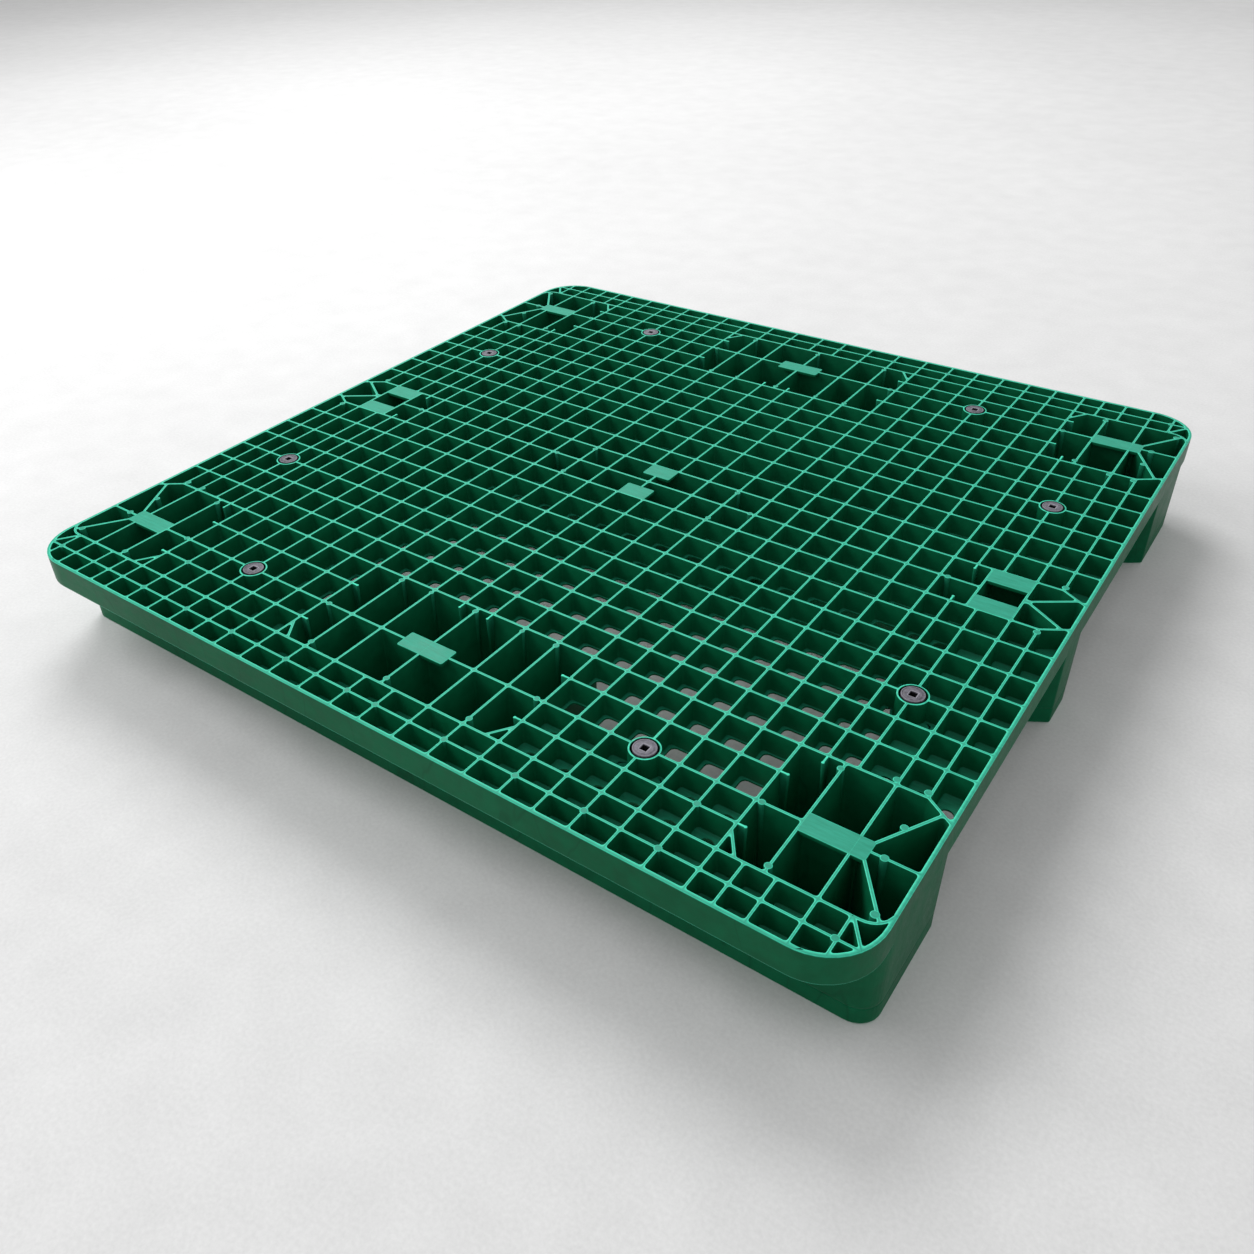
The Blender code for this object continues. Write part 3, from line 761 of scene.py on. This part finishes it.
def build_leg(kind, x_sign, y_sign, name, material):
    cup = new_shape()
    for tile, widths in pocket_tiles(kind):
        tile = mirrored(tile, x_sign, y_sign)
        opening = inset(tile, mirrored_widths(widths, x_sign, y_sign))
        radius = SMALL_RADIUS if len(tile) == 3 else CELL_RADIUS
        add_cell(cup, tile, opening, LEG_FLOOR, hole=None, draft=1, radius=radius, under=False)
    close_leg(cup)
    details = new_shape()
    add_leg_details(details, kind)
    for vertex in details.verts:
        vertex.co.x *= x_sign
        vertex.co.y *= y_sign
    if x_sign * y_sign < 0:
        bmesh.ops.reverse_faces(details, faces=details.faces)
    merge(cup, details, "details")
    inner = [vertex for vertex in cup.verts if abs(vertex.co.x) <= OUT - 0.1]
    taper(inner, kind, x_sign, y_sign, TOP)
    merge(cup, leg_walls(kind, x_sign, y_sign), "walls")
    return build_piece(name.replace("leg_", "leg_cup_"), cup, material, [name])


def leg_name(kind, x_sign, y_sign):
    row, place = "centre", "middle"
    if kind in ("side", "corner"):
        row = "rear" if y_sign > 0 else "front"
    if kind in ("end", "corner"):
        place = "right" if x_sign > 0 else "left"
    return f"leg_{row}_{place}"


def leg_kinds():
    """(kind, sign of x, sign of y) of the nine legs."""
    kinds = [("centre", 1, 1)]
    for sign in (1, -1):
        kinds += [("end", sign, 1), ("side", 1, sign), ("corner", sign, 1), ("corner", sign, -1)]
    return kinds


def build_legs(material):
    for kind, x_sign, y_sign in leg_kinds():
        build_leg(kind, x_sign, y_sign, leg_name(kind, x_sign, y_sign), material)


def runner_outline(row):
    if row == "centre":
        half = leg_outline("end")[1:-1]
        half = [(x, y - math.copysign(LEG_TAPER / 2, y)) for x, y in half]
        return half + [(-x, -y) for x, y in half]
    fixed = SIDE_Y[1] + COLLAR
    scale = 1 - LEG_TAPER / (SIDE_Y[1] - SIDE_Y[0])
    half = [(x, fixed + (y - fixed) * scale) for x, y in leg_outline("corner")[1:-1]]
    half[-1] = (half[-1][0], fixed)
    return mirrored(half + [(-x, y) for x, y in reversed(half)], 1, 1 if row == "rear" else -1)


def build_runner(row, material):
    """A runner bar with a flat top and two rows of pockets in its underside."""
    shape = new_shape()
    outline = runner_outline(row)

    def level(step_in, z, wear):
        edge = evenly_inset(outline, step_in) if step_in else outline
        return ring(shape, rounded(edge, 3 - step_in), z, wear)

    rings = [
        level(SOFTENED, RUNNER_TOP, 0),
        level(0, RUNNER_TOP - SOFTENED, 0),
        level(0, RUNNER_TOP - 2.5, 0),
        level(0, 3, 0),
        level(0, 1.2, 1),
        level(1.2, 0, 1),
    ]
    face(shape, rings[0])
    for first, second in zip(rings, rings[1:]):
        join_outwards(shape, first, second)
    low = min(y for _, y in outline)
    high = max(y for _, y in outline)
    middle = (low + high) / 2
    half_wall = RUNNER_WALL / 2
    rows = ((low + RUNNER_WALL, middle - half_wall), (middle + half_wall, high - RUNNER_WALL))
    mouths = [rings[-1]]
    pitch = 2 * RUNNER_REACH / RUNNER_CELLS
    for index in range(RUNNER_CELLS):
        left = -RUNNER_REACH + index * pitch + half_wall
        right = left + pitch - RUNNER_WALL
        for near, far in rows:
            box = [(left, near), (right, near), (right, far), (left, far)]
            mouth = ring(shape, rounded(box, 5.6, 4), 0, 0.8)
            lip = ring(shape, rounded(evenly_inset(box, 0.6), 5, 4), 0.6, 0.8)
            wall = ring(shape, rounded(evenly_inset(box, 1.2), 4.4, 4), RUNNER_PLATE, 0)
            join_outwards(shape, mouth, lip)
            join_outwards(shape, lip, wall)
            face(shape, wall[::-1])
            mouths.append(mouth)
    edges = []
    for mouth in mouths:
        for first, second in zip(mouth, mouth[1:] + mouth[:1]):
            edges.append(shape.edges.get((first, second)))
    bmesh.ops.triangle_fill(shape, use_beauty=True, edges=[edge for edge in edges if edge])
    bmesh.ops.recalc_face_normals(shape, faces=shape.faces)
    return build_piece(f"runner_bar_{row}", shape, material, [f"runner_{row}"])


def build_plug(index, x, y, material):
    """A moulded rubber plug: a raised rim, a groove, a raised collar, and a square hole."""
    shape = new_shape()
    count = 48
    # The wear values paint the plug's rim and the collar round its hole pale, partly as wear and partly as a
    # highlight.
    profile = [
        (PLUG_RADIUS, SEAT_FLOOR + 0.3, 0),
        (PLUG_RADIUS, PLUG_TOP - 0.9, 0.3),
        (PLUG_RADIUS - 0.25, PLUG_TOP - 0.25, 0.8),
        (PLUG_RADIUS - 0.8, PLUG_TOP, 0.85),
        (11.3, PLUG_TOP, 0.5),
        (10.9, PLUG_TOP - 0.35, 0),
        (9.8, PLUG_TOP - 0.35, 0),
        (9.4, PLUG_TOP - 0.05, 0.5),
        (8.4, PLUG_TOP - 0.05, 0),
        (7, PLUG_TOP - 0.05, 0),
    ]
    rings = [ring(shape, circle((x, y), radius, count), z, wear) for radius, z, wear in profile]

    def square(half):
        points = []
        for step in range(count):
            angle = 2 * math.pi * step / count
            reach = half / max(abs(math.cos(angle)), abs(math.sin(angle)))
            points.append((x + reach * math.cos(angle), y + reach * math.sin(angle)))
        return points

    for half, z, wear in (
        (5, PLUG_TOP - 0.05, 0.9),
        (4.6, PLUG_TOP - 0.1, 1),
        (PLUG_HOLE, PLUG_TOP - 0.6, 0.5),
        (PLUG_HOLE, PLUG_TOP - 1.4, 0),
        (PLUG_HOLE, PLUG_TOP - 18, 0),
    ):
        rings.append(ring(shape, square(half), z, wear))
    face(shape, rings[0][::-1])
    for first, second in zip(rings, rings[1:]):
        join_inwards(shape, first, second)
    face(shape, rings[-1])
    bmesh.ops.recalc_face_normals(shape, faces=shape.faces)
    nodes = [f"antislip_plug_{index}"]
    return build_piece(f"plug_{index}", shape, material, nodes, smooth=40)


def link(tree, source, target):
    tree.links.new(source, target)


def noise(tree, place, scale, detail=4.0, rough=0.55):
    node = tree.nodes.new("ShaderNodeTexNoise")
    node.inputs["Scale"].default_value = scale
    node.inputs["Detail"].default_value = detail
    node.inputs["Roughness"].default_value = rough
    link(tree, place, node.inputs["Vector"])
    return node.outputs["Fac"]


def spread(tree, value, low, high, to_low, to_high):
    node = tree.nodes.new("ShaderNodeMapRange")
    node.inputs["From Min"].default_value = low
    node.inputs["From Max"].default_value = high
    node.inputs["To Min"].default_value = to_low
    node.inputs["To Max"].default_value = to_high
    link(tree, value, node.inputs["Value"])
    return node.outputs["Result"]


def maths(tree, operation, first, second):
    node = tree.nodes.new("ShaderNodeMath")
    node.operation = operation
    for socket, value in zip(node.inputs, (first, second)):
        if isinstance(value, (int, float)):
            socket.default_value = value
        else:
            link(tree, value, socket)
    return node.outputs["Value"]


def mix_colour(tree, factor, first, second):
    node = tree.nodes.new("ShaderNodeMix")
    node.data_type = "RGBA"
    link(tree, factor, node.inputs["Factor"])
    for name, value in (("A", first), ("B", second)):
        socket = [item for item in node.inputs if item.name == name and item.type == "RGBA"][0]
        if isinstance(value, tuple):
            socket.default_value = (*value, 1)
        else:
            link(tree, value, socket)
    return [item for item in node.outputs if item.type == "RGBA"][0]


def moulded_plastic(name, deep, light, flat, wear_and_highlight, rough, specular, marks=0.26, fine=60, painted_sunk_shade=0):
    """Moulded plastic: cloudy colour, flat tops painted paler for wear and for light from above, edges
    painted pale for wear and as a highlight, fine grain and flow marks.

    marks is the strength of the flow marks, fine the scale of the mottling, and the last argument how
    much painted shade darkens the material below the deck top.
    """
    material = bpy.data.materials.new(name)
    material.use_nodes = True
    tree = material.node_tree
    shader = tree.nodes["Principled BSDF"]
    place = tree.nodes.new("ShaderNodeTexCoord").outputs["Object"]
    stretch = tree.nodes.new("ShaderNodeMapping")
    stretch.inputs["Scale"].default_value = (1, 7, 3)
    stretch.inputs["Rotation"].default_value = (0.2, 0.1, 0.6)
    link(tree, place, stretch.inputs["Vector"])

    clouds = noise(tree, place, 5)
    mottle = noise(tree, place, fine, 5)
    grain = noise(tree, place, 900, 3)
    scuffs = noise(tree, stretch.outputs["Vector"], 45, 6, 0.7)

    tone = spread(tree, maths(tree, "ADD", clouds, mottle), 0.75, 1.25, 0, 1)
    colour = mix_colour(tree, tone, deep, light)
    # The dark colour serves the flow marks and the painted shade below the plug level.
    flow_mark_and_shade = tuple(channel * 0.3 for channel in deep)
    axes = tree.nodes.new("ShaderNodeSeparateXYZ")
    link(tree, place, axes.inputs["Vector"])
    height = axes.outputs["Z"]
    reaches = [maths(tree, "ABSOLUTE", axes.outputs[axis], 0) for axis in "XY"]
    at_side = maths(tree, "GREATER_THAN", maths(tree, "MAXIMUM", *reaches), SIDE_FACE)
    outside = maths(tree, "MAXIMUM", at_side, maths(tree, "LESS_THAN", height, LEG_LEVEL))
    drawn = tree.nodes.new("ShaderNodeMapping")
    drawn.inputs["Scale"].default_value = (1, 1, 0.3)
    link(tree, place, drawn.inputs["Vector"])
    flow = maths(tree, "SUBTRACT", noise(tree, drawn.outputs["Vector"], 16, 2, 0.45), 0.5)
    flow = spread(tree, maths(tree, "ABSOLUTE", flow, 0), 0.001, 0.009, marks, 0)
    colour = mix_colour(tree, maths(tree, "MULTIPLY", flow, outside), colour, flow_mark_and_shade)
    # Painted shade: below the plug level the colour darkens, in the plug's hole and the gap round its sides.
    colour = mix_colour(tree, spread(tree, height, *PLUG_LEVEL, painted_sunk_shade, 0), colour, flow_mark_and_shade)

    normal = tree.nodes.new("ShaderNodeSeparateXYZ")
    link(tree, tree.nodes.new("ShaderNodeNewGeometry").outputs["Normal"], normal.inputs["Vector"])
    # Painted light: upward faces at the deck top turn paler, partly for wear and partly as light from above.
    level = spread(tree, normal.outputs["Z"], 0.8, 0.98, 0, 1)
    top = maths(tree, "MULTIPLY", level, spread(tree, height, *TOP_LEVEL, 0, 1))
    scuffed_and_lit_top = maths(tree, "MULTIPLY", top, spread(tree, scuffs, 0.3, 0.7, 0.65, 1) if marks else 0.4)
    colour = mix_colour(tree, scuffed_and_lit_top, colour, flat)

    # Painted highlight: the edge attribute turns rims and rounded edges pale, partly as wear and partly as a
    # highlight.
    wear = tree.nodes.new("ShaderNodeAttribute")
    wear.attribute_name = "edge"
    sharp = maths(tree, "POWER", wear.outputs["Fac"], 6)
    edge = maths(tree, "MULTIPLY", sharp, spread(tree, scuffs, 0.3, 0.62, 0.55, 1))
    colour = mix_colour(tree, edge, colour, wear_and_highlight)
    link(tree, colour, shader.inputs["Base Color"])

    shine = spread(tree, maths(tree, "ADD", mottle, scuffs), 0.7, 1.3, rough - 0.07, rough + 0.1)
    link(tree, shine, shader.inputs["Roughness"])
    shader.inputs["Specular IOR Level"].default_value = specular
    bump = tree.nodes.new("ShaderNodeBump")
    bump.inputs["Strength"].default_value = 0.25
    bump.inputs["Distance"].default_value = 0.0004
    relief = maths(tree, "ADD", mottle, scuffs)
    relief = maths(tree, "ADD", maths(tree, "MULTIPLY", grain, 0.35), relief)
    link(tree, relief, bump.inputs["Height"])
    link(tree, bump.outputs["Normal"], shader.inputs["Normal"])
    return material


def floor_material():
    material = bpy.data.materials.new("studio_floor")
    material.use_nodes = True
    tree = material.node_tree
    shader = tree.nodes["Principled BSDF"]
    place = tree.nodes.new("ShaderNodeTexCoord").outputs["Object"]
    broad = maths(tree, "ADD", noise(tree, place, 0.8, 5), noise(tree, place, 14, 6))
    grain = maths(tree, "MULTIPLY", noise(tree, place, 240, 3), 0.8)
    tone = maths(tree, "ADD", maths(tree, "MULTIPLY", broad, 0.6), grain)
    darker, paler = (0.6, 0.6, 0.6), (0.71, 0.71, 0.71)
    colour = mix_colour(tree, spread(tree, tone, 0.7, 1.3, 0, 1), darker, paler)
    link(tree, colour, shader.inputs["Base Color"])
    shader.inputs["Roughness"].default_value = 0.75
    return material


def add_light(name, place, size, power):
    """A round area light that points at the origin."""
    data = bpy.data.lights.new(name, "AREA")
    data.shape = "DISK"
    data.size = size
    data.energy = power
    light = bpy.data.objects.new(name, data)
    light.location = place
    light.rotation_mode = "QUATERNION"
    light.rotation_quaternion = (-Vector(place)).to_track_quat("-Z", "Y")
    bpy.context.scene.collection.objects.link(light)


def build_studio():
    mesh = bpy.data.meshes.new("studio_floor")
    shape = bmesh.new()
    bmesh.ops.create_grid(shape, x_segments=1, y_segments=1, size=30)
    shape.to_mesh(mesh)
    shape.free()
    mesh.materials.append(floor_material())
    floor = bpy.data.objects.new("studio_floor", mesh)
    floor.location.z = -0.0005
    bpy.context.scene.collection.objects.link(floor)

    add_light("key_light", (-3.0, 2.8, 4.6), 3.4, 214)
    add_light("fill_light", (-2.8, -1.6, 2.6), 2.4, 66)
    world = bpy.data.worlds.new("studio_world")
    world.use_nodes = True
    background = world.node_tree.nodes["Background"]
    background.inputs["Color"].default_value = (1, 1, 1, 1)
    background.inputs["Strength"].default_value = 0.62
    bpy.context.scene.world = world
    bpy.context.scene.view_settings.view_transform = "Standard"


def build_camera():
    data = bpy.data.cameras.new("camera")
    data.lens = 32.24
    data.sensor_width = 36
    data.shift_x = 0.0293
    data.shift_y = -0.0225
    camera = bpy.data.objects.new("camera", data)
    right = Vector((0.80965, 0.58605, -0.03172))
    up = Vector((-0.31686, 0.48197, 0.81688))
    back = Vector((0.49402, -0.65134, 0.57593))
    turn = Matrix((right, up, back)).transposed().to_4x4()
    camera.matrix_world = Matrix.Translation((0.74306, -1.12176, 0.88904)) @ turn
    bpy.context.scene.collection.objects.link(camera)
    bpy.context.scene.camera = camera


build_camera()
build_studio()
# The pale top and edge colours are partly wear and partly painted light and painted highlights.
worn_and_lit_top, worn_and_highlit_edge = (0.038, 0.36, 0.248), (0.07, 0.76, 0.5)
deck_look = moulded_plastic(
    "deck_plastic", (0.001, 0.079, 0.031), (0.002, 0.114, 0.047), worn_and_lit_top, worn_and_highlit_edge, 0.38, 0.08
)
build_deck(deck_look)
leg_look = moulded_plastic(
    "leg_plastic", (0.001, 0.078, 0.031), (0.002, 0.11, 0.045), worn_and_lit_top, worn_and_highlit_edge, 0.4, 0.09
)
build_legs(leg_look)
runner_look = moulded_plastic(
    "runner_plastic", (0.0012, 0.08, 0.032), (0.0025, 0.115, 0.048), worn_and_lit_top, (0.03, 0.36, 0.2), 0.44, 0.07
)
for row in ("front", "centre", "rear"):
    build_runner(row, runner_look)
# The pale grey paints the plug's rim and hole collar, partly as wear and partly as a highlight.
grey, worn_and_highlit_grey = (0.105, 0.1, 0.125), (0.36, 0.35, 0.4)
plug_look = moulded_plastic(
    "plug_rubber_look", (0.014, 0.013, 0.019), (0.23, 0.22, 0.265), grey, worn_and_highlit_grey, 0.5, 0.3, 0, 380, 0.95
)
for index, place in enumerate(plug_places(), 1):
    build_plug(index, *place, plug_look)
